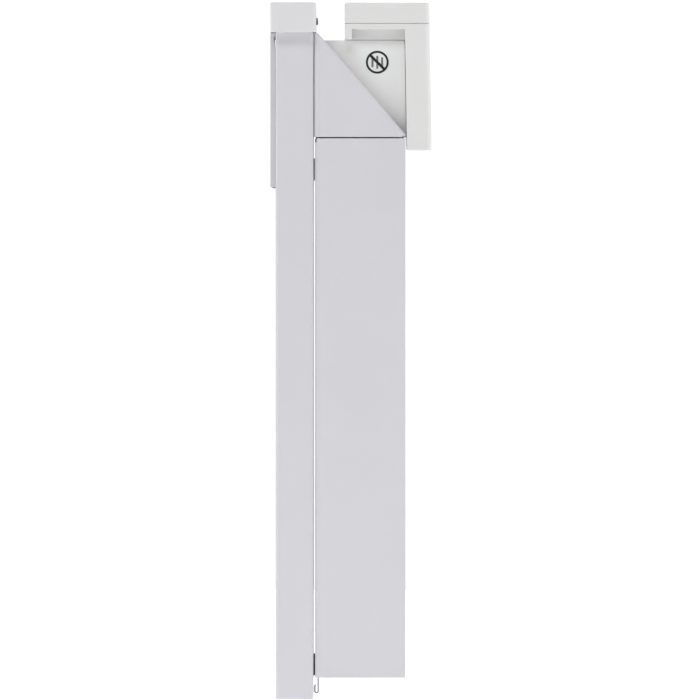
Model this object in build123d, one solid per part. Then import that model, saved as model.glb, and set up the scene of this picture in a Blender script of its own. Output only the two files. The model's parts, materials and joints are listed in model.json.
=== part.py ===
from build123d import *
import math
import os

# A gate of seven folding leaves on a wall post, folded together.
# X runs out from the wall, Y from the front to the back, Z up from the post's foot. Millimetres.
# The finished nodes are moved so that the origin is the centre of the four wall screws.

# Post
POST_LEFT, POST_RIGHT = 5.4, 44.8
POST_DEPTH = 62.0
POST_WALL = 2.0
POST_CORNER, POST_INNER_CORNER = 3.0, 1.0
POST_TOP = 716.0
FOOT_HEIGHT, FOOT_ROUND = 4.0, 2.5
FOOT_PLUG, PLUG_WALL = 12.0, 2.0

# Cap on the post
CAP_BOTTOM, CAP_TOP = 693.8, 724.1
CAP_RIGHT = 47.6
CAP_FRONT, CAP_BACK = -12.0, 64.6
CAP_WALL = 2.4
CAP_CORNER, CAP_EDGE = 3.0, 1.6
CAP_SCREW_HEIGHT = 706.5
CAP_SCREW_YS = (14.0, 48.0)

# Wall bracket
BRACKET_BOTTOM, BRACKET_TOP = 533.0, 692.8
BRACKET_FRONT, BRACKET_BACK = 4.0, 58.0
BRACKET_PLATE = 2.0
BRACKET_WALL = 1.6
HOOK_HEIGHTS = (572.0, 656.0)
HOOK_SHANK, HOOK_HEAD = 3.0, 5.5
HOOK_HEAD_THICKNESS, HOOK_EDGE = 2.3, 0.8
HOOK_FIT, HOOK_HEAD_FIT = 0.2, 0.5
KEYHOLE_DROP = 14.0
NOTCH_DEPTH, NOTCH_FROM_TOP, NOTCH_HEIGHT = 1.3, 4.0, 8.0
WALL_SCREW_SPACING_Y, WALL_SCREW_SPACING_Z = 30.0, 126.0
WALL_SCREW_HOLE = 2.6

# Hinge between the post and the front leaf
POST_AXIS = (49.8, 5.4)
POST_ROD = 1.0
POST_ROD_TOP = 640.0
BLOCK_BARREL = 2.2
BLOCK_WEB = 1.1
BLOCK_HEIGHT = 23.0
BLOCK_HEAD, BLOCK_HEAD_OVERHANG = 2.4, 4.0
POCKET_FIT = 0.4
BLOCK_BOTTOMS = (25.0, 540.0)
ARM_FRONT, ARM_BACK = 10.0, 13.2
EYE_WIDTH = 3.5
EYE_BOTTOM, EYE_TOP = 7.2, 15.5

# Front leaf
FRONT_THICKNESS = 13.0
FRONT_LEFT, FRONT_RIGHT = 46.4, 140.5
FRONT_FLAT_FROM = 60.0
FRONT_NOSE_RADIUS = 30.0
FRONT_EDGE = 0.8
COVE_RADIUS, GUSSET_COVE = 9.0, 8.2
LEAF_BOTTOM = 23.0
CAP_THICKNESS = 3.0
LEAF_PLUG, LEAF_PLUG_WALL = 8.0, 1.1
FRONT_PLUG_WALL = 1.3
FRONT_PANEL_TOP = 583.5
GUSSET_BOTTOM, GUSSET_TOP = 584.9, 692.8
GUSSET_CORNER_X = 49.5
GUSSET_SLOPE = 1.1525
GUSSET_CHAMFER = 2.0
GUSSET_NOSE = 4.65
GUSSET_WALL = 2.0
GUSSET_HOLLOW_RIGHT = 124.5
CORNER_HOLE_LEFT = (1.7, 4.0)
CORNER_HOLE_RIGHT = (3.6, 1.2)
CORNER_HOLE_DEPTH = 8.0
SKIN = 1.5

# Leaves behind it
LEAF_COUNT = 7
LEAF_THICKNESS = 7.0
LEAF_GAP = 1.0
LEAF_TOP = 686.0
LEFT_AXIS_X, RIGHT_AXIS_X = 50.5, 135.0
AXIS_TO_SLAB = 4.2
CELLS = 3
SLAB_EDGE = 0.8
LIP_RIGHT, LIP_THICKNESS = 139.2, 3.4
LIP_GAP = 0.45

# Hinges between leaves
BARREL = 3.5
ROD = 2.0
RUNNING = 0.06
KNUCKLES = 9
KNUCKLE_GAP = 0.4
KNUCKLE_ROOT, KNUCKLE_WEB_FROM = 1.0, 0.5
ROD_CHAMFER = 0.4
HINGE_BOTTOM = 28.0

# Handle
HANDLE_LEFT = 77.2
HANDLE_RIGHT = 165.3
HANDLE_LEAN = 0.017
HANDLE_DEPTH = 66.0
HANDLE_BOTTOM, HANDLE_TOP = 570.4, 724.4
SOLE_RISE = 3.0
DECK_BOTTOM, DECK_TOP = 696.9, 702.7
PRONG_WIDTH, PRONG_BOTTOM = 7.8, 686.4
BAR_INNER = 139.9
SKIRT_FRONT, SKIRT_BACK = 10.0, 12.4
HANDLE_SPLIT = 22.0
HANDLE_WALL = 2.6
HANDLE_CORNER, HANDLE_EDGE, COVER_EDGE = 6.0, 1.6, 1.5
SCREW_XS, SCREW_ZS = (147.5, 160.5), (584.0, 640.0)
SCREW_POST, SCREW_POST_REAR = 3.4, 3.6
FLANGE_FRONT, FLANGE_BACK = 61.4, 64.4
FLANGE_BOTTOM = 606.0
FLANGE_XS, FLANGE_ZS = (92.0, 124.0), (618.0, 672.0)
SEAM = 0.4

# Latch
LATCH_PLATE_X, LATCH_PLATE_THICKNESS = 152.0, 2.0
LATCH_PLATE_Y, LATCH_PLATE_WIDTH = 33.0, 20.0
LATCH_PLATE_BOTTOM = 656.0
MOUTH_BOTTOM, MOUTH_TOP = 664.0, 680.0
MOUTH_WIDTH = 12.0
WINDOW_WIDTH, WINDOW_BOTTOM, WINDOW_TOP = 11.0, 665.0, 677.0
SPRING_X, SPRING_YS = 154.0, (12.0, 54.0)
SPRING_RADIUS, SPRING_WIRE, SPRING_TURNS = 4.2, 0.55, 6
BOSS = 2.8
RETAINER_TOP = 676.0
RETAINER_HEAD, RETAINER_THREAD, RETAINER_LENGTH = 2.0, 1.2, 8.0
PLATE_RIB = 2.5

# Screws
SCREW = 1.5
SCREW_HEAD = 2.8
SCREW_RECESS = 1.0
CAP_HEAD_HEIGHT, SHELL_HEAD_HEIGHT = 1.9, 1.5
CAP_HEAD_ROUND, SHELL_HEAD_ROUND = 1.0, 0.8
THREAD_FIT = 0.1

# Pieces that are pushed together stand this far apart, and cutters run past a face by this much
SLIDE_FIT = 0.1
OVER = 1.0

FRONT_AXIS_Y = FRONT_THICKNESS + LEAF_GAP / 2
PITCH = LEAF_THICKNESS + LEAF_GAP
SLAB_LEFT, SLAB_RIGHT = LEFT_AXIS_X + AXIS_TO_SLAB, RIGHT_AXIS_X - AXIS_TO_SLAB
WALL_SCREWS = (0.0, (BRACKET_FRONT + BRACKET_BACK) / 2, (BRACKET_BOTTOM + BRACKET_TOP) / 2)


# Basic shapes

def block(x0, x1, y0, y1, z0, z1):
    centre = Pos((x0 + x1) / 2, (y0 + y1) / 2, (z0 + z1) / 2)
    return centre * Box(x1 - x0, y1 - y0, z1 - z0)


def area(x0, x1, y0, y1):
    return Pos((x0 + x1) / 2, (y0 + y1) / 2) * Rectangle(x1 - x0, y1 - y0)


def upright(x, y, z0, z1, radius):
    """A cylinder along Z."""
    return Pos(x, y, (z0 + z1) / 2) * Cylinder(radius, z1 - z0)


def along_x(x0, x1, y, z, radius):
    return Pos((x0 + x1) / 2, y, z) * Rot(0, 90, 0) * Cylinder(radius, x1 - x0)


def along_y(x, y0, y1, z, radius):
    return Pos(x, (y0 + y1) / 2, z) * Rot(90, 0, 0) * Cylinder(radius, y1 - y0)


def raised(section, z0, z1):
    """A section in the XY plane, from z0 to z1."""
    return Pos(0, 0, z0) * extrude(section, z1 - z0)


def prism(points, y0, y1):
    """An outline of (x, z) points, from y0 back to y1."""
    outline = make_face(Polyline(*points, close=True))
    return extrude(Plane.XZ.offset(-y1) * outline, y1 - y0)


def round_area(x0, x1, y0, y1, radius):
    return Pos((x0 + x1) / 2, (y0 + y1) / 2) * RectangleRounded(x1 - x0, y1 - y0, radius)


# Post

def post_inside(shrink=0.0):
    inset = POST_WALL + shrink
    return round_area(POST_LEFT + inset, POST_RIGHT - inset, inset, POST_DEPTH - inset, POST_INNER_CORNER)


def post_outside():
    return round_area(POST_LEFT, POST_RIGHT, 0, POST_DEPTH, POST_CORNER)


def keyhole(z):
    """The opening that drops over a hook stud: a wide hole below and a slot up to the stud."""
    x0, x1 = POST_LEFT - OVER, POST_LEFT + POST_WALL + OVER
    y = WALL_SCREWS[1]
    half = HOOK_SHANK + HOOK_FIT
    slot = block(x0, x1, y - half, y + half, z - KEYHOLE_DROP, z)
    seat = along_x(x0, x1, y, z, half)
    return slot + seat + along_x(x0, x1, y, z - KEYHOLE_DROP, HOOK_HEAD + HOOK_HEAD_FIT)


def post_profile():
    post = raised(post_outside() - post_inside(), FOOT_HEIGHT, POST_TOP)
    side = POST_RIGHT - POST_WALL - OVER, POST_RIGHT + OVER
    for z in HOOK_HEIGHTS:
        post -= keyhole(z)
    for z in BLOCK_BOTTOMS:
        post -= block(*side, ARM_FRONT, ARM_BACK, z, z + BLOCK_HEIGHT)
    for y in CAP_SCREW_YS:
        post -= along_x(*side, y, CAP_SCREW_HEIGHT, SCREW)
    return post


def post_foot():
    sole = raised(post_outside(), 0, FOOT_HEIGHT)
    sole = fillet(sole.faces().sort_by(Axis.Z)[0].edges(), FOOT_ROUND)
    ring = post_inside(SLIDE_FIT) - post_inside(SLIDE_FIT + PLUG_WALL)
    plug = raised(ring, FOOT_HEIGHT, FOOT_HEIGHT + FOOT_PLUG)
    return sole + plug


def post_cap():
    cap = block(0, CAP_RIGHT, CAP_FRONT, CAP_BACK, CAP_BOTTOM, CAP_TOP)
    cap = fillet(cap.edges().filter_by(Axis.Z), CAP_CORNER)
    cap = fillet(cap.faces().sort_by(Axis.Z)[-1].edges(), CAP_EDGE)
    cap -= block(POST_LEFT - SLIDE_FIT, POST_RIGHT + SLIDE_FIT, -SLIDE_FIT, POST_DEPTH + SLIDE_FIT,
                 CAP_BOTTOM - OVER, POST_TOP + SLIDE_FIT)
    cap -= block(CAP_WALL, CAP_RIGHT - CAP_WALL, CAP_FRONT + CAP_WALL, -CAP_WALL,
                 CAP_BOTTOM + CAP_WALL, CAP_TOP - CAP_WALL)
    for y in CAP_SCREW_YS:
        cap -= along_x(POST_RIGHT - OVER, CAP_RIGHT + OVER, y, CAP_SCREW_HEIGHT, SCREW)
    return cap


def screw_along_x(x_tip, x_seat, y, z):
    """A pan-head screw whose head stands on the face at x_seat, pointing towards -X."""
    head = along_x(x_seat, x_seat + CAP_HEAD_HEIGHT, y, z, SCREW_HEAD)
    head = fillet(head.faces().sort_by(Axis.X)[-1].edges(), CAP_HEAD_ROUND)
    recess = along_x(x_seat + CAP_HEAD_HEIGHT - 1, x_seat + CAP_HEAD_HEIGHT + OVER, y, z, SCREW_RECESS)
    return head + along_x(x_tip, x_seat, y, z, SCREW) - recess


def post_cap_screws():
    tip = POST_RIGHT - POST_WALL - 4
    return Compound([screw_along_x(tip, CAP_RIGHT, y, CAP_SCREW_HEIGHT) for y in CAP_SCREW_YS])


def wall_bracket():
    plate = block(0, BRACKET_PLATE, BRACKET_FRONT, BRACKET_BACK, BRACKET_BOTTOM, BRACKET_TOP)
    channel = plate
    for y in (BRACKET_FRONT, BRACKET_BACK - BRACKET_WALL):
        edge = POST_LEFT - SLIDE_FIT
        channel += block(0, edge, y, y + BRACKET_WALL, BRACKET_BOTTOM, BRACKET_TOP)
        top = BRACKET_TOP - NOTCH_FROM_TOP
        channel -= block(edge - NOTCH_DEPTH, POST_LEFT, y - OVER, y + BRACKET_WALL + OVER,
                         top - NOTCH_HEIGHT, top)
    for z in HOOK_HEIGHTS:
        channel -= along_x(-OVER, BRACKET_PLATE + OVER, WALL_SCREWS[1], z, HOOK_SHANK)
    for y_side in (-1, 1):
        for z_side in (-1, 1):
            y = WALL_SCREWS[1] + y_side * WALL_SCREW_SPACING_Y / 2
            z = WALL_SCREWS[2] + z_side * WALL_SCREW_SPACING_Z / 2
            channel -= along_x(-OVER, BRACKET_PLATE + OVER, y, z, WALL_SCREW_HOLE)
    return channel


def bracket_hooks():
    studs = []
    neck = POST_LEFT + POST_WALL + SLIDE_FIT
    for z in HOOK_HEIGHTS:
        shank = along_x(0, neck, WALL_SCREWS[1], z, HOOK_SHANK)
        head = along_x(neck, neck + HOOK_HEAD_THICKNESS, WALL_SCREWS[1], z, HOOK_HEAD)
        studs.append(shank + fillet(head.faces().sort_by(Axis.X)[-1].edges(), HOOK_EDGE))
    return Compound(studs)


# Hinge of the post

def hinge_block(z):
    """An arm through the post's side, behind the leaf's nose, with a barrel on the hinge axis."""
    x, y = POST_AXIS
    inside = POST_RIGHT - POST_WALL
    arm = area(inside - BLOCK_HEAD, x + BLOCK_WEB, ARM_FRONT, ARM_BACK)
    web = area(x - BLOCK_WEB, x + BLOCK_WEB, y, ARM_BACK)
    head = area(inside - BLOCK_HEAD, inside, ARM_FRONT - BLOCK_HEAD_OVERHANG, ARM_BACK + BLOCK_HEAD_OVERHANG)
    section = arm + web + head + Pos(x, y) * Circle(BLOCK_BARREL) - Pos(x, y) * Circle(POST_ROD)
    return raised(section, z, z + BLOCK_HEIGHT)


def block_pocket(z):
    """The room that a hinge block needs in the front leaf over its whole swing."""
    x, y = POST_AXIS
    side = BLOCK_WEB + POCKET_FIT
    room = area(FRONT_LEFT - OVER, x + side, y - side, FRONT_THICKNESS + OVER)
    room += Pos(x, y) * Circle(BLOCK_BARREL + POCKET_FIT)
    return raised(room, z - POCKET_FIT, z + BLOCK_HEIGHT + POCKET_FIT)


def post_hinge_rod():
    """A wire rod whose lower end is bent into an eye, to pull it out by."""
    x, y = POST_AXIS
    left = x - EYE_WIDTH
    radius = EYE_WIDTH / 2
    path = Line((x, y, POST_ROD_TOP), (x, y, EYE_BOTTOM + radius))
    bend = Plane.XZ.offset(-y)
    path += bend * CenterArc((x - radius, EYE_BOTTOM + radius), radius, 0, -180)
    path += Line((left, y, EYE_BOTTOM + radius), (left, y, EYE_TOP - radius))
    path += bend * CenterArc((left + radius, EYE_TOP - radius), radius, 180, -80)
    return sweep(Plane(origin=(x, y, POST_ROD_TOP), z_dir=(0, 0, -1)) * Circle(POST_ROD), path=path)


# Hinges between leaves

def leaf_front(number):
    return FRONT_THICKNESS + LEAF_GAP + (number - 2) * PITCH


def axis_behind(number):
    """The hinge axis between this leaf and the next one."""
    x = RIGHT_AXIS_X if number % 2 else LEFT_AXIS_X
    return x, FRONT_AXIS_Y + (number - 1) * PITCH


def hinge_top(number):
    return (FRONT_PANEL_TOP if number <= 2 else LEAF_TOP - CAP_THICKNESS) - 2.0


def knuckle_spans(number):
    """The heights of the knuckles of the hinge behind this leaf, from the lowest up."""
    step = (hinge_top(number) - HINGE_BOTTOM) / KNUCKLES
    starts = [HINGE_BOTTOM + i * step for i in range(KNUCKLES)]
    return [(z, z + step - KNUCKLE_GAP) for z in starts]


def knuckles(hinge, leaf):
    """One leaf's share of the knuckles of a hinge: the leaf in front has the first and the last."""
    x, y = axis_behind(hinge)
    behind = leaf > hinge
    side = 1 if behind else -1
    inward = -1 if x == RIGHT_AXIS_X else 1
    reach = x + inward * (AXIS_TO_SLAB + KNUCKLE_ROOT)
    near, far = sorted((y + side * KNUCKLE_WEB_FROM, y + side * BARREL))
    web = area(min(x, reach), max(x, reach), near, far)
    section = web + Pos(x, y) * Circle(BARREL) - Pos(x, y) * Circle(ROD + RUNNING)
    spans = knuckle_spans(hinge)[1 if behind else 0::2]
    return [raised(section, low, high) for low, high in spans]


def hinge_rod(number):
    x, y = axis_behind(number)
    rod = upright(x, y, HINGE_BOTTOM, hinge_top(number) - KNUCKLE_GAP, ROD)
    return chamfer(rod.edges().filter_by(GeomType.CIRCLE), ROD_CHAMFER)


# Front leaf

def front_section():
    """The front leaf's outline: flat, with a nose at the post and a cove for the hinge behind."""
    angle = math.degrees(math.asin((FRONT_FLAT_FROM - FRONT_LEFT) / FRONT_NOSE_RADIUS))
    nose_y = FRONT_NOSE_RADIUS * (1 - math.cos(math.radians(angle)))
    nose = CenterArc((FRONT_FLAT_FROM, FRONT_NOSE_RADIUS), FRONT_NOSE_RADIUS, 270 - angle, angle)
    rest = Polyline((FRONT_FLAT_FROM, 0), (FRONT_RIGHT, 0), (FRONT_RIGHT, FRONT_THICKNESS),
                    (FRONT_LEFT, FRONT_THICKNESS), (FRONT_LEFT, nose_y))
    return make_face(nose + rest)


def hinge_cove(right_radius):
    """Room for the second leaf, as it turns about the hinge behind the front leaf."""
    x, y = axis_behind(1)
    right = Pos(x, y) * Circle(right_radius) & area(x, x + 20, y - 20, y + 20)
    return Pos(x, y) * Circle(AXIS_TO_SLAB) + right


def cells(left, right, front, back, grow=0.0):
    """The hollow cells of a leaf, side by side between thin ribs."""
    width = (right - left - (CELLS - 1) * SKIN) / CELLS
    hollow = Sketch()
    for i in range(CELLS):
        x = left + i * (width + SKIN)
        hollow += area(x - grow, x + width + grow, front - grow, back + grow)
    return hollow


def front_cells(grow=0.0):
    return cells(FRONT_FLAT_FROM - 3, SLAB_RIGHT - 3, SKIN, FRONT_THICKNESS - SKIN, grow)


def front_panel():
    section = front_section() - hinge_cove(COVE_RADIUS) - front_cells()
    panel = raised(section, LEAF_BOTTOM + CAP_THICKNESS, FRONT_PANEL_TOP)
    panel = fillet(front_right_edge(panel), FRONT_EDGE)
    for shape in knuckles(1, 1):
        panel += shape
    for z in BLOCK_BOTTOMS:
        panel -= block_pocket(z)
    panel -= upright(*POST_AXIS, LEAF_BOTTOM, FRONT_PANEL_TOP + OVER, POST_ROD + RUNNING)
    width, height = CORNER_HOLE_LEFT
    return panel - block(FRONT_LEFT - OVER, FRONT_LEFT + width, -OVER, CORNER_HOLE_DEPTH,
                         FRONT_PANEL_TOP - height, FRONT_PANEL_TOP + OVER)


def front_right_edge(shape):
    upright_edges = shape.edges().filter_by(Axis.Z)
    return upright_edges.sort_by(lambda e: e.center().X - e.center().Y)[-1]


def front_bottom_cap():
    top = LEAF_BOTTOM + CAP_THICKNESS
    plate = raised(front_section() - hinge_cove(COVE_RADIUS), LEAF_BOTTOM, top)
    plate = fillet(front_right_edge(plate), FRONT_EDGE)
    plate -= block_pocket(BLOCK_BOTTOMS[0])
    plate -= upright(*POST_AXIS, LEAF_BOTTOM - OVER, top + OVER, POST_ROD + RUNNING)
    plugs = front_cells(-SLIDE_FIT) - front_cells(-SLIDE_FIT - FRONT_PLUG_WALL)
    return plate + raised(plugs, top, top + LEAF_PLUG)


def slope_height(x):
    return GUSSET_TOP - (x - GUSSET_CORNER_X) * GUSSET_SLOPE


def above_slope(inset):
    """Everything above the gusset's diagonal, or above a line inset below it."""
    drop = inset * math.hypot(1, GUSSET_SLOPE)
    left, right = FRONT_LEFT - 20, FRONT_RIGHT + 20
    points = [(left, slope_height(left) - drop), (right, slope_height(right) - drop),
              (right, GUSSET_TOP + 60), (left, GUSSET_TOP + 60)]
    return prism(points, -5, FRONT_THICKNESS + 5)


def diagonal_chamfer():
    """A cutter along the front edge of the diagonal."""
    length = math.hypot(1, GUSSET_SLOPE)
    along = Vector(1, 0, -GUSSET_SLOPE) / length
    outward = Vector(GUSSET_SLOPE, 0, 1) / length
    start = Plane(origin=Vector(GUSSET_CORNER_X, 0, GUSSET_TOP) - along * 20, x_dir=outward, z_dir=along)
    c = GUSSET_CHAMFER
    corner = make_face(Polyline((-c - 1, 1), (1, -c - 1), (1, 1), close=True))
    return extrude(start * corner, 190)


def gusset():
    """The front leaf's moulded top: a triangle whose left end turns about the post's hinge."""
    x, y = POST_AXIS
    section = front_section() + Pos(x, y) * Circle(GUSSET_NOSE) - Pos(*axis_behind(1)) * Circle(GUSSET_COVE)
    body = raised(section, GUSSET_BOTTOM, GUSSET_TOP) - above_slope(0)
    hollow = raised(area(FRONT_FLAT_FROM - 3, GUSSET_HOLLOW_RIGHT, SKIN + 0.3, FRONT_THICKNESS - SKIN),
                    GUSSET_BOTTOM + GUSSET_WALL, GUSSET_TOP) - above_slope(GUSSET_WALL)
    body = body - hollow - diagonal_chamfer()
    body -= upright(x, y, GUSSET_BOTTOM - OVER, POST_ROD_TOP + OVER, POST_ROD + RUNNING)
    width, height = CORNER_HOLE_RIGHT
    return body - block(FRONT_RIGHT - width, FRONT_RIGHT + OVER, -OVER, CORNER_HOLE_DEPTH,
                        GUSSET_BOTTOM - OVER, GUSSET_BOTTOM + height)


# Leaves behind

def slab(number, right=SLAB_RIGHT):
    front = leaf_front(number)
    return round_area(SLAB_LEFT, right, front, front + LEAF_THICKNESS, SLAB_EDGE)


def slab_cells(number, right=SLAB_RIGHT, grow=0.0):
    front = leaf_front(number)
    return cells(SLAB_LEFT + SKIN, right - SKIN, front + SKIN, front + LEAF_THICKNESS - SKIN, grow)


def slab_plugs(number, right):
    """The hollow plugs by which a cap holds in a leaf's cells."""
    outer = slab_cells(number, right, -SLIDE_FIT)
    return outer - slab_cells(number, right, -SLIDE_FIT - LEAF_PLUG_WALL)


def slab_right(number):
    return SLAB_RIGHT if number < LEAF_COUNT else LIP_RIGHT


def leaf_panel(number):
    right = slab_right(number)
    top = FRONT_PANEL_TOP if number == 2 else LEAF_TOP - CAP_THICKNESS
    panel = raised(slab(number, right) - slab_cells(number, right), LEAF_BOTTOM + CAP_THICKNESS, top)
    for hinge in (number - 1, number):
        if hinge < LEAF_COUNT:
            for shape in knuckles(hinge, number):
                panel += shape
    if number == LEAF_COUNT:
        for x, z in flange_screw_places():
            panel -= along_y(x, FLANGE_FRONT - SKIN * 2, FLANGE_FRONT, z, SCREW)
    return panel


def leaf_bottom_cap(number):
    right = slab_right(number)
    top = LEAF_BOTTOM + CAP_THICKNESS
    plugs = slab_plugs(number, right)
    return raised(slab(number, right), LEAF_BOTTOM, top) + raised(plugs, top, top + LEAF_PLUG)


def leaf_top_cap(number):
    right = slab_right(number)
    base = LEAF_TOP - CAP_THICKNESS
    plugs = slab_plugs(number, right)
    return raised(slab(number, right), base, LEAF_TOP) + raised(plugs, base - LEAF_PLUG, base)


def sign_carrier():
    """The second leaf's moulded top, with a lip that closes the view beside the handle."""
    front = leaf_front(2)
    body = raised(slab(2), GUSSET_BOTTOM, LEAF_TOP)
    root = SLAB_RIGHT - LIP_THICKNESS
    low, high = (bar_inner_x(z) - LIP_GAP for z in (GUSSET_BOTTOM, LEAF_TOP))
    lip = [(root, GUSSET_BOTTOM), (low, GUSSET_BOTTOM), (high, LEAF_TOP), (root, LEAF_TOP)]
    body += prism(lip, front, front + LIP_THICKNESS)
    body -= block(SLAB_LEFT + SKIN, SLAB_RIGHT - SKIN, front + GUSSET_WALL, front + LEAF_THICKNESS - SKIN,
                  GUSSET_BOTTOM + GUSSET_WALL, LEAF_TOP - GUSSET_WALL)
    joint = raised(slab(2), FRONT_PANEL_TOP, GUSSET_BOTTOM)
    return body + joint + raised(slab_plugs(2, SLAB_RIGHT), FRONT_PANEL_TOP - LEAF_PLUG, FRONT_PANEL_TOP)


# Handle

def bar_outer_x(z):
    return HANDLE_RIGHT + (HANDLE_TOP - z) * HANDLE_LEAN


def bar_inner_x(z):
    return BAR_INNER + (DECK_BOTTOM - z) * HANDLE_LEAN


def handle_solid():
    """The handle below its seam, before hollowing: a deck over the leaves, a prong and a bar."""
    outline = [(HANDLE_LEFT, DECK_TOP), (bar_outer_x(DECK_TOP), DECK_TOP),
               (bar_outer_x(HANDLE_BOTTOM), HANDLE_BOTTOM), (bar_inner_x(HANDLE_BOTTOM), HANDLE_BOTTOM),
               (BAR_INNER, DECK_BOTTOM), (HANDLE_LEFT + PRONG_WIDTH, DECK_BOTTOM),
               (HANDLE_LEFT + PRONG_WIDTH, PRONG_BOTTOM), (HANDLE_LEFT, PRONG_BOTTOM)]
    body = prism(outline, 0, HANDLE_DEPTH)
    outer = [e for e in body.edges() if e.center().X > HANDLE_RIGHT - 1 and e.length > 100]
    body = fillet(outer, HANDLE_CORNER) - under_sole()
    sole = body.faces().sort_by(Axis.Z)[0]
    return fillet(sole.edges(), HANDLE_EDGE)


def under_sole():
    """A wedge below the bar's sole, which rises a little towards the back."""
    low, back = HANDLE_BOTTOM - OVER, HANDLE_DEPTH + OVER
    side = make_face(Polyline((-OVER, low), (back, low), (back, HANDLE_BOTTOM + SOLE_RISE),
                              (0, HANDLE_BOTTOM), (-OVER, HANDLE_BOTTOM), close=True))
    return extrude(Plane.YZ.offset(BAR_INNER) * side, bar_outer_x(HANDLE_BOTTOM) + OVER - BAR_INNER)


def bar_hollow():
    w = HANDLE_WALL
    low, high = HANDLE_BOTTOM + SOLE_RISE + w, DECK_BOTTOM
    outline = [(bar_inner_x(low) + w, low), (bar_outer_x(low) - w, low),
               (bar_outer_x(high) - w, high), (bar_inner_x(high) + w, high)]
    return prism(outline, w, HANDLE_DEPTH - w)


def shell_screw_places():
    return [(x, z) for x in SCREW_XS for z in SCREW_ZS]


def flange_screw_places():
    return [(x, z) for x in FLANGE_XS for z in FLANGE_ZS]


def deck_openings():
    """Holes for the cover's bosses and a slot for the latch plate."""
    x, y = LATCH_PLATE_X, LATCH_PLATE_Y
    half = LATCH_PLATE_WIDTH / 2
    holes = block(x - 0.5, x + LATCH_PLATE_THICKNESS + 0.5, y - half - 0.5, y + half + 0.5,
                  DECK_BOTTOM - 1, DECK_TOP + 1)
    for spring_y in SPRING_YS:
        holes += upright(SPRING_X, spring_y, DECK_BOTTOM - 1, DECK_TOP + 1, BOSS + 0.4)
    return holes


def handle_front_shell():
    """The front half, with a skirt between the prong and the bar, just above the leaves' tops."""
    shell = handle_solid() - bar_hollow() - deck_openings()
    shell &= block(0, 200, -OVER, HANDLE_SPLIT, 0, 800)
    shell += block(HANDLE_LEFT + PRONG_WIDTH - OVER, BAR_INNER + OVER, SKIRT_FRONT, SKIRT_BACK,
                   PRONG_BOTTOM, DECK_BOTTOM)
    for x, z in shell_screw_places():
        shell += along_y(x, HANDLE_WALL - OVER, HANDLE_SPLIT, z, SCREW_POST)
        shell -= along_y(x, HANDLE_WALL * 2, HANDLE_SPLIT + OVER, z, SCREW)
    return shell


def handle_rear_shell():
    shell = handle_solid() - bar_hollow() - deck_openings()
    shell &= block(0, 200, HANDLE_SPLIT, HANDLE_DEPTH + 1, 0, 800)
    shell -= block(HANDLE_LEFT + PRONG_WIDTH, BAR_INNER, FLANGE_BACK, HANDLE_DEPTH + 1, DECK_BOTTOM - 1, 800)
    shell += block(HANDLE_LEFT, BAR_INNER + 6, FLANGE_FRONT, FLANGE_BACK, FLANGE_BOTTOM, DECK_TOP)
    mouth_y = LATCH_PLATE_Y
    shell -= block(LATCH_PLATE_X + 4, 200, mouth_y - MOUTH_WIDTH / 2, mouth_y + MOUTH_WIDTH / 2,
                   MOUTH_BOTTOM, MOUTH_TOP)
    for x, z in shell_screw_places():
        shell += along_y(x, HANDLE_SPLIT, HANDLE_DEPTH - OVER, z, SCREW_POST_REAR)
        shell -= along_y(x, HANDLE_SPLIT - OVER, HANDLE_DEPTH - 2, z, SCREW + THREAD_FIT)
        shell -= along_y(x, HANDLE_DEPTH - 3, HANDLE_DEPTH + OVER, z, SCREW_HEAD + HOOK_FIT)
    for x, z in flange_screw_places():
        shell -= along_y(x, FLANGE_FRONT - OVER, FLANGE_BACK + OVER, z, SCREW + THREAD_FIT)
    return shell


def screw_along_y(x, y_tip, y_seat, z):
    """A pan-head screw whose head stands on the face at y_seat, pointing towards -Y."""
    head = along_y(x, y_seat, y_seat + SHELL_HEAD_HEIGHT, z, SCREW_HEAD)
    head = fillet(head.faces().sort_by(Axis.Y)[-1].edges(), SHELL_HEAD_ROUND)
    recess = along_y(x, y_seat + SHELL_HEAD_HEIGHT / 2, y_seat + SHELL_HEAD_HEIGHT + OVER, z, SCREW_RECESS)
    return head + along_y(x, y_tip, y_seat, z, SCREW) - recess


def handle_screws():
    seat = HANDLE_DEPTH - 3
    return Compound([screw_along_y(x, HANDLE_SPLIT - 12, seat, z) for x, z in shell_screw_places()])


def flange_screws():
    return Compound([screw_along_y(x, FLANGE_FRONT - 2.8, FLANGE_BACK, z) for x, z in flange_screw_places()])


# Release cover and latch

def release_cover():
    """The top of the handle. It lifts with the latch plate, and springs pull it down again."""
    low = DECK_TOP + SEAM
    outline = [(HANDLE_LEFT, HANDLE_TOP), (HANDLE_RIGHT, HANDLE_TOP), (bar_outer_x(low), low),
               (HANDLE_LEFT, low)]
    cover = prism(outline, 0, HANDLE_DEPTH)
    corners = [e for e in cover.edges() if e.center().X > HANDLE_RIGHT - 1 and abs((e % 0.5).Z) > 0.9]
    cover = fillet(corners, HANDLE_CORNER)
    left = [e for e in cover.edges() if e.center().X < HANDLE_LEFT + 0.1 and abs((e % 0.5).Z) > 0.9]
    cover = fillet(left, HANDLE_EDGE)
    cover = fillet(cover.faces().sort_by(Axis.Z)[-1].edges(), COVER_EDGE)
    w = HANDLE_WALL
    cover -= block(HANDLE_LEFT + w, HANDLE_RIGHT - w - 1, w, HANDLE_DEPTH - w, low - 1, HANDLE_TOP - w)
    for y in SPRING_YS:
        cover += upright(SPRING_X, y, RETAINER_TOP, HANDLE_TOP - w, BOSS)
        cover -= upright(SPRING_X, y, RETAINER_TOP - OVER, RETAINER_TOP + RETAINER_LENGTH + OVER,
                         RETAINER_THREAD)
    x = LATCH_PLATE_X
    half = LATCH_PLATE_WIDTH / 2
    y = LATCH_PLATE_Y
    cover += block(x - PLATE_RIB, x, y - half, y + half, DECK_TOP + 2, HANDLE_TOP - w)
    return cover


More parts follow.
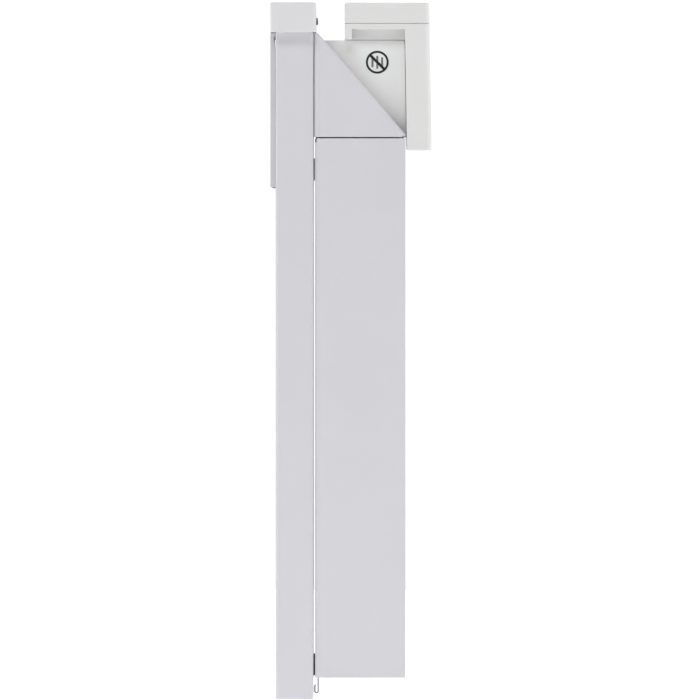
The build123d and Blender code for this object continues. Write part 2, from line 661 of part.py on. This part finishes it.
def latch_plate():
    """A steel plate with a window that drops behind the head of the catch's tongue."""
    x, y = LATCH_PLATE_X, LATCH_PLATE_Y
    half = LATCH_PLATE_WIDTH / 2
    plate = block(x, x + LATCH_PLATE_THICKNESS, y - half, y + half,
                  LATCH_PLATE_BOTTOM, HANDLE_TOP - HANDLE_WALL)
    window = block(x - OVER, x + LATCH_PLATE_THICKNESS + OVER, y - WINDOW_WIDTH / 2, y + WINDOW_WIDTH / 2,
                   WINDOW_BOTTOM, WINDOW_TOP)
    return plate - window


def spring_retainers():
    """A washer-head screw in the end of each boss, under its spring."""
    screws = []
    for y in SPRING_YS:
        head = upright(SPRING_X, y, RETAINER_TOP - RETAINER_HEAD, RETAINER_TOP,
                       SPRING_RADIUS + RETAINER_THREAD)
        head = fillet(head.faces().sort_by(Axis.Z)[0].edges(), SHELL_HEAD_ROUND)
        thread = upright(SPRING_X, y, RETAINER_TOP, RETAINER_TOP + RETAINER_LENGTH, RETAINER_THREAD)
        screws.append(head + thread)
    return Compound(screws)


def return_springs():
    coils = []
    low = RETAINER_TOP + SPRING_WIRE + 0.1
    height = DECK_BOTTOM - RETAINER_TOP - 2 * SPRING_WIRE - 0.2
    for y in SPRING_YS:
        path = Helix(pitch=height / SPRING_TURNS, height=height, radius=SPRING_RADIUS)
        wire = Plane(origin=path @ 0, z_dir=path % 0) * Circle(SPRING_WIRE)
        coils.append(Pos(SPRING_X, y, low) * sweep(wire, path=path, is_frenet=True))
    return Compound(coils)


def nodes():
    """Every node's name and the function that makes it."""
    made = {
        "post_profile": post_profile, "post_foot": post_foot, "post_cap": post_cap,
        "post_cap_screws": post_cap_screws, "wall_bracket": wall_bracket, "bracket_hooks": bracket_hooks,
        "lower_hinge_block": lambda: hinge_block(BLOCK_BOTTOMS[0]),
        "upper_hinge_block": lambda: hinge_block(BLOCK_BOTTOMS[1]),
        "post_hinge_rod": post_hinge_rod,
        "leaf_1_panel": front_panel, "leaf_1_top_cap": gusset, "leaf_1_bottom_cap": front_bottom_cap,
        "leaf_2_top_cap": sign_carrier,
        "handle_front_shell": handle_front_shell, "handle_rear_shell": handle_rear_shell,
        "handle_screws": handle_screws, "flange_screws": flange_screws,
        "release_cover": release_cover, "latch_plate": latch_plate,
        "spring_retainers": spring_retainers, "return_springs": return_springs,
    }
    for number in range(2, LEAF_COUNT + 1):
        made[f"leaf_{number}_panel"] = lambda n=number: leaf_panel(n)
        made[f"leaf_{number}_bottom_cap"] = lambda n=number: leaf_bottom_cap(n)
        if number > 2:
            made[f"leaf_{number}_top_cap"] = lambda n=number: leaf_top_cap(n)
    for number in range(1, LEAF_COUNT):
        made[f"hinge_rod_{number}_{number + 1}"] = lambda n=number: hinge_rod(n)
    return made


os.makedirs("parts", exist_ok=True)
to_wall_screws = Pos(*(-v for v in WALL_SCREWS))
for name, make in nodes().items():
    export_step(to_wall_screws * make(), f"parts/{name}.step")
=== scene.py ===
import bpy
import bmesh
import json
import math
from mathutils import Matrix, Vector


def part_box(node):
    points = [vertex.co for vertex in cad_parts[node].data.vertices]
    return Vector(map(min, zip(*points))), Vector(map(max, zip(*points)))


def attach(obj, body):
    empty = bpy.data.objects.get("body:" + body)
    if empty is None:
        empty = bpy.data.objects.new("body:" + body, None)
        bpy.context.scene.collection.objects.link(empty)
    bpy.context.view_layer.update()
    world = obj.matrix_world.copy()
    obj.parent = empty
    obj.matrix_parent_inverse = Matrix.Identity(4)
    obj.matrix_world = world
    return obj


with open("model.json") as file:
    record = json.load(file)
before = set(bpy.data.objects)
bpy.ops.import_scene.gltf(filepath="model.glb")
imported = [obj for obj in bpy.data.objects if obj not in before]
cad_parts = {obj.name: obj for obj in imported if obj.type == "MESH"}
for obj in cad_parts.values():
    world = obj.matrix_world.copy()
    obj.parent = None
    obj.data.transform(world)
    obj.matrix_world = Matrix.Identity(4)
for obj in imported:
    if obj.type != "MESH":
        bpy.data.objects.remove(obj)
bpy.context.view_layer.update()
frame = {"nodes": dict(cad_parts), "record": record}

# Places in metres. The post's foot, the front plane and the wall come from the frame.
FOOT_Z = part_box("post_foot")[0][2]
FRONT_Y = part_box("leaf_1_panel")[0][1]
WALL_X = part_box("wall_bracket")[0][0]

# Camera: level, facing the front plane, with a long lens
CAMERA_DISTANCE = 6.0
VIEW_WIDTH = 0.7271
SENSOR = 36.0
CAMERA_X = WALL_X + 0.0828
CAMERA_Z = FOOT_Z + 0.3636

# Round sign on the second leaf, printed on a square film
SIGN_X = WALL_X + 0.1112
SIGN_Z = FOOT_Z + 0.6632
SIGN_RADIUS = 0.0119
SIGN_LINE = 0.0022
SLANT_WIDTH = SIGN_LINE * 1.25
GATE_BAR_WIDTH = 0.0022
GATE_BAR_STEP = SIGN_RADIUS * 0.42
MIDDLE_BAR_LENGTH = SIGN_RADIUS * 1.15
OUTER_BAR_LENGTH = SIGN_RADIUS * 0.9
FILM_HALF = 0.0155
FILM_CORNER = 0.0015
PRINT = 0.00005

# Studio
FLOOR_DROP = 0.012
FLOOR_HALF = 3.0
FLOOR_GLOW = 0.70
ROOM_SPREAD = (-0.9, 0.5)
ROOM_NEAR, ROOM_FAR = 0.08, 1.06


# Materials

def material(name, colour, roughness, **sockets):
    """A Principled material. sockets are the shader's own values that are the same all over."""
    made = bpy.data.materials.new(name)
    made.use_nodes = True
    shader = made.node_tree.nodes["Principled BSDF"]
    shader.inputs["Base Color"].default_value = (*colour, 1.0)
    shader.inputs["Roughness"].default_value = roughness
    for socket, value in sockets.items():
        shader.inputs[socket.replace("_", " ")].default_value = value
    return made, made.node_tree, shader


def noise(tree, scale, detail=3.0, stretch=(1, 1, 1)):
    """Noise fixed to the piece, drawn out along an axis where stretch is small."""
    coordinates = tree.nodes.new("ShaderNodeTexCoord")
    mapping = tree.nodes.new("ShaderNodeMapping")
    mapping.inputs["Scale"].default_value = stretch
    texture = tree.nodes.new("ShaderNodeTexNoise")
    texture.inputs["Scale"].default_value = scale
    texture.inputs["Detail"].default_value = detail
    tree.links.new(coordinates.outputs["Object"], mapping.inputs["Vector"])
    tree.links.new(mapping.outputs["Vector"], texture.inputs["Vector"])
    return texture.outputs["Fac"]


def ranged(tree, value, low, high, spread=(0.35, 0.65)):
    """value, which mostly lies within spread, as a number from low to high."""
    node = tree.nodes.new("ShaderNodeMapRange")
    node.inputs["From Min"].default_value, node.inputs["From Max"].default_value = spread
    node.inputs["To Min"].default_value = low
    node.inputs["To Max"].default_value = high
    tree.links.new(value, node.inputs["Value"])
    return node.outputs["Result"]


def tinted(tree, shader, value, colour, other):
    """The base colour goes from colour to other with value."""
    ramp = tree.nodes.new("ShaderNodeValToRGB")
    ramp.color_ramp.elements[0].position = 0.35
    ramp.color_ramp.elements[1].position = 0.65
    ramp.color_ramp.elements[0].color = (*colour, 1.0)
    ramp.color_ramp.elements[1].color = (*other, 1.0)
    tree.links.new(value, ramp.inputs["Fac"])
    tree.links.new(ramp.outputs["Color"], shader.inputs["Base Color"])


def bumped(tree, value, strength, distance, below=None):
    """A bump of value, laid over the bump below."""
    node = tree.nodes.new("ShaderNodeBump")
    node.inputs["Strength"].default_value = strength
    node.inputs["Distance"].default_value = distance
    tree.links.new(value, node.inputs["Height"])
    if below:
        tree.links.new(below, node.inputs["Normal"])
    return node.outputs["Normal"]


def dimmed(colour, share):
    return tuple(c * share for c in colour)


def powder_coat(name, colour, roughness):
    """Powder coat on an extruded profile: orange peel over faint lengthwise drawing lines."""
    made, tree, shader = material(name, colour, roughness, Specular_IOR_Level=0.45, Coat_Weight=0.08,
                                  Coat_Roughness=0.22)
    tinted(tree, shader, noise(tree, 9, 4), dimmed(colour, 0.985), colour)
    rough = noise(tree, 160, 3)
    tree.links.new(ranged(tree, rough, roughness - 0.04, roughness + 0.05), shader.inputs["Roughness"])
    lines = bumped(tree, noise(tree, 900, 2, (1, 1, 0.004)), strength=0.05, distance=0.0001)
    peel = bumped(tree, noise(tree, 700, 2), strength=0.10, distance=0.0002, below=lines)
    tree.links.new(peel, shader.inputs["Normal"])
    return made


def moulded(name, colour, roughness, grain=2600):
    """Moulded plastic with a fine sparked grain."""
    made, tree, shader = material(name, colour, roughness, Specular_IOR_Level=0.42, Subsurface_Weight=0.03,
                                  Subsurface_Scale=0.002)
    tinted(tree, shader, noise(tree, 14, 4), dimmed(colour, 0.982), colour)
    rough = noise(tree, 300, 2)
    tree.links.new(ranged(tree, rough, roughness - 0.05, roughness + 0.06), shader.inputs["Roughness"])
    flow = bumped(tree, noise(tree, 45, 2), strength=0.05, distance=0.0004)
    fine = bumped(tree, noise(tree, grain, 3), strength=0.16, distance=0.00012, below=flow)
    tree.links.new(fine, shader.inputs["Normal"])
    return made


def drawn_steel(name, colour, roughness, stretch=(1, 1, 0.01)):
    """Bright steel with fine drawing lines."""
    made, tree, shader = material(name, colour, roughness, Metallic=1.0)
    lines = noise(tree, 2400, 3, stretch)
    tinted(tree, shader, lines, dimmed(colour, 0.8), colour)
    tree.links.new(ranged(tree, lines, roughness - 0.08, roughness + 0.1), shader.inputs["Roughness"])
    tree.links.new(bumped(tree, lines, strength=0.25, distance=0.00005), shader.inputs["Normal"])
    return made


def printed(name, colour):
    """Printing ink, slightly mottled."""
    made, tree, shader = material(name, colour, 0.4)
    tinted(tree, shader, noise(tree, 3000, 2), colour, dimmed(colour, 0.9))
    return made


COOL_WHITE = (0.585, 0.580, 0.612)
CAP_WHITE = (0.650, 0.648, 0.664)
NEUTRAL_WHITE = (0.665, 0.663, 0.660)
FINISHES = {
    "panel_paint": powder_coat("panel_paint_fine", COOL_WHITE, 0.40),
    "leaf_profile": moulded("leaf_profile_fine", COOL_WHITE, 0.42),
    # The wall bracket's coat is the post's colour made 8% darker: painted shade for its place behind the
    # post.
    "bracket_paint": powder_coat("bracket_painted_shade_coat", dimmed(COOL_WHITE, 0.92), 0.45),
    "cap_plastic": moulded("cap_plastic_fine", COOL_WHITE, 0.42),
    "handle_plastic": moulded("handle_plastic_fine", NEUTRAL_WHITE, 0.44),
    "white_nylon": moulded("white_nylon_fine", (0.74, 0.74, 0.73), 0.5),
    "black_nylon": moulded("black_nylon_fine", (0.012, 0.012, 0.014), 0.5),
    "steel": drawn_steel("steel_fine", (0.40, 0.42, 0.45), 0.28),
    "screw_steel": drawn_steel("screw_steel_fine", (0.20, 0.21, 0.24), 0.35, (1, 1, 1)),
}


# Two mouldings are a little lighter than their neighbours in the same plastic. The second leaf's top cap is
# lighter as painted light, to offset the shade of its recess behind the handle; the post cap is simply given
# a lighter colour.
NODE_FINISHES = {
    "leaf_2_top_cap": moulded("sign_carrier_painted_light", (0.75, 0.75, 0.747), 0.45),
    "post_cap": moulded("post_cap_fine", CAP_WHITE, 0.42),
}


def finish_cad_nodes():
    """Each node gets its own finish, or else the finish of its material slot."""
    for part in frame["record"]["subparts"]:
        finish = NODE_FINISHES.get(part["node"], FINISHES[part["material_slot"]])
        for slot in frame["nodes"][part["node"]].material_slots:
            slot.material = finish


# Sign

def flat_piece(name, outline, inner, front, depth, finish):
    """A thin upright piece: an outline of (x, z) points about the sign's centre, less an inner outline."""
    mesh = bmesh.new()
    loops = [[mesh.verts.new((x, 0, z)) for x, z in points] for points in (outline, inner) if points]
    if inner:
        count = len(outline)
        for i in range(count):
            j = (i + 1) % count
            mesh.faces.new((loops[0][i], loops[0][j], loops[1][j], loops[1][i]))
    else:
        mesh.faces.new(loops[0])
    solid = bmesh.ops.extrude_face_region(mesh, geom=list(mesh.faces))
    moved = [v for v in solid["geom"] if isinstance(v, bmesh.types.BMVert)]
    bmesh.ops.translate(mesh, verts=moved, vec=(0, depth, 0))
    bmesh.ops.translate(mesh, verts=list(mesh.verts), vec=(SIGN_X, front, SIGN_Z))
    bmesh.ops.recalc_face_normals(mesh, faces=list(mesh.faces))
    data = bpy.data.meshes.new(name)
    mesh.to_mesh(data)
    mesh.free()
    data.materials.append(finish)
    made = bpy.data.objects.new(name, data)
    bpy.context.collection.objects.link(made)
    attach(made, "leaf_2")
    return made


def round_outline(radius, steps=96):
    turns = [2 * math.pi * i / steps for i in range(steps)]
    return [(radius * math.cos(t), radius * math.sin(t)) for t in turns]


def bar_outline(centre, length, width, angle, steps=12):
    """A bar with round ends, turned by angle."""
    points = []
    for end in (1, -1):
        for i in range(steps + 1):
            t = math.pi * (i / steps - 0.5) + (0 if end > 0 else math.pi)
            points.append((end * (length - width) / 2 + width / 2 * math.cos(t), width / 2 * math.sin(t)))
    c, s = math.cos(angle), math.sin(angle)
    return [(centre[0] + x * c - y * s, centre[1] + x * s + y * c) for x, y in points]


def rounded_square(half, radius, steps=10):
    points = []
    for quarter in range(4):
        middle = math.pi / 4 + quarter * math.pi / 2
        corner = [math.copysign(half - radius, f(middle)) for f in (math.cos, math.sin)]
        for i in range(steps + 1):
            t = quarter * math.pi / 2 + math.pi / 2 * i / steps
            points.append((corner[0] + radius * math.cos(t), corner[1] + radius * math.sin(t)))
    return points


def make_sign():
    """A generic prohibition sign: a ring and a slanting bar over three upright gate bars."""
    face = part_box("leaf_2_top_cap")[0][1]
    black = printed("sign_black", (0.012, 0.012, 0.013))
    grey = printed("sign_grey", (0.16, 0.16, 0.17))
    film = moulded("sign_film", (0.755, 0.755, 0.753), 0.36)
    flat_piece("sign_film", rounded_square(FILM_HALF, FILM_CORNER), None, face - PRINT, PRINT, film)
    for i in (-1, 0, 1):
        length = OUTER_BAR_LENGTH if i else MIDDLE_BAR_LENGTH
        outline = bar_outline((i * GATE_BAR_STEP, 0), length, GATE_BAR_WIDTH, math.pi / 2)
        flat_piece(f"sign_gate_bar_{i + 2}", outline, None, face - 2 * PRINT, PRINT, grey)
    ring = round_outline(SIGN_RADIUS), round_outline(SIGN_RADIUS - SIGN_LINE)
    flat_piece("sign_ring", *ring, face - 3 * PRINT, PRINT * 2, black)
    slant = bar_outline((0, 0), 2 * (SIGN_RADIUS - SIGN_LINE / 2), SLANT_WIDTH, -math.pi / 4)
    flat_piece("sign_slant", slant, None, face - 4 * PRINT, PRINT * 3, black)


# Studio

def area_light(name, place, target, size, power):
    data = bpy.data.lights.new(name, "AREA")
    data.shape = "RECTANGLE"
    data.size, data.size_y = size
    data.energy = power
    made = bpy.data.objects.new(name, data)
    made.location = place
    made.rotation_euler = (Vector(target) - Vector(place)).to_track_quat("-Z", "Y").to_euler()
    made.visible_camera = False
    bpy.context.collection.objects.link(made)


def make_world():
    """A white room, a little darker on the side that the camera stands on."""
    world = bpy.data.worlds.new("studio")
    bpy.context.scene.world = world
    world.use_nodes = True
    tree = world.node_tree
    background = tree.nodes["Background"]
    background.inputs["Strength"].default_value = 1.0
    coordinates = tree.nodes.new("ShaderNodeTexCoord")
    split = tree.nodes.new("ShaderNodeSeparateXYZ")
    ramp = tree.nodes.new("ShaderNodeMapRange")
    ramp.inputs["From Min"].default_value, ramp.inputs["From Max"].default_value = ROOM_SPREAD
    ramp.inputs["To Min"].default_value = ROOM_NEAR
    ramp.inputs["To Max"].default_value = ROOM_FAR
    tree.links.new(coordinates.outputs["Generated"], split.inputs[0])
    tree.links.new(split.outputs["Y"], ramp.inputs["Value"])
    tree.links.new(ramp.outputs["Result"], background.inputs["Color"])


def make_floor():
    half, z = FLOOR_HALF, FOOT_Z - FLOOR_DROP
    data = bpy.data.meshes.new("floor")
    corners = [(-half, -half, z), (half, -half, z), (half, half, z), (-half, half, z)]
    data.from_pydata(corners, [], [(0, 1, 2, 3)])
    floor_finish, tree, shader = material("floor_white", (0.93, 0.93, 0.93), 0.7)
    shader.inputs["Emission Color"].default_value = (1, 1, 1, 1)
    shader.inputs["Emission Strength"].default_value = FLOOR_GLOW
    data.materials.append(floor_finish)
    floor = bpy.data.objects.new("floor", data)
    bpy.context.collection.objects.link(floor)


def make_lights():
    """A soft key high in front, a fill on each side, and a rim light for the edges."""
    middle = (CAMERA_X, FRONT_Y + 0.03, CAMERA_Z)
    area_light("key", (CAMERA_X - 0.2, FRONT_Y - 1.25, CAMERA_Z + 1.75), middle, size=(1.3, 0.5), power=14)
    area_light("left_fill", (WALL_X - 1.45, FRONT_Y - 0.75, CAMERA_Z), middle, size=(0.8, 1.8), power=7)
    area_light("right_fill", (WALL_X + 1.5, FRONT_Y - 0.8, CAMERA_Z + 0.8), middle, size=(0.6, 0.9), power=3)
    area_light("right_rim", (WALL_X + 1.5, FRONT_Y - 0.02, CAMERA_Z + 1.3), middle, size=(0.5, 0.9), power=8)


def make_camera():
    """A level camera that faces the front plane."""
    data = bpy.data.cameras.new("camera")
    data.sensor_width = SENSOR
    data.lens = SENSOR * CAMERA_DISTANCE / VIEW_WIDTH
    camera = bpy.data.objects.new("camera", data)
    camera.location = (CAMERA_X, FRONT_Y - CAMERA_DISTANCE, CAMERA_Z)
    camera.rotation_euler = (math.pi / 2, 0, 0)
    bpy.context.collection.objects.link(camera)
    bpy.context.scene.camera = camera
    bpy.context.scene.view_settings.view_transform = "Standard"


make_camera()
make_world()
make_floor()
make_lights()
finish_cad_nodes()
make_sign()
